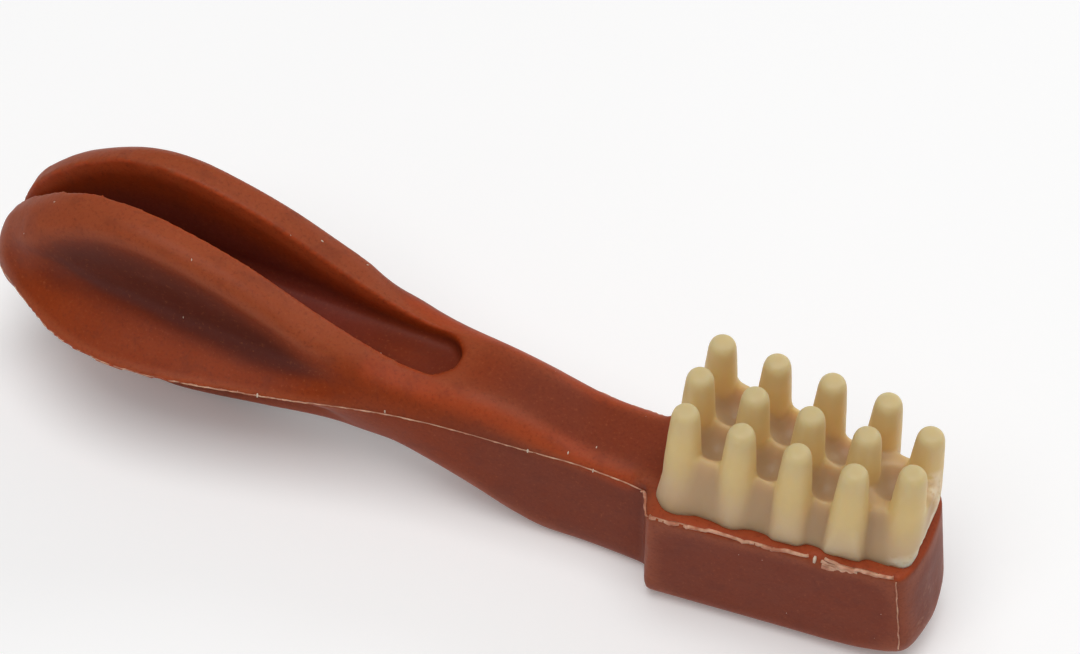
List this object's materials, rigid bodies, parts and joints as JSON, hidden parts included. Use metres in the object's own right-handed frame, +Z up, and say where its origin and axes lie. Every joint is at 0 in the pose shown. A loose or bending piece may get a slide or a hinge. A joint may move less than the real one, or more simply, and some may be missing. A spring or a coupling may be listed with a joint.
{
  "type": "dental chew toothbrush",
  "caption": "Toothbrush-shaped dental chew for dogs: a scooped, grooved bulb handle and a tray head filled with soft domed pegs.",
  "frame": {"origin": "centre of the bounding box's footprint, on the surface that the brush lies on", "axes": "+X runs from the tail of the handle to the tip of the head, +Z points up through the pegs, and the brush is symmetric across Y"},
  "size_m": [0.1184, 0.0308, 0.0323],
  "materials": {
    "handle_chew": "satin waxy, slightly translucent",
    "bristle_chew": "satin waxy, translucent"
  },
  "bodies": {
    "root": {"handle_body": "handle_chew", "bristle_pad": "bristle_chew"}
  },
  "joints": []
}
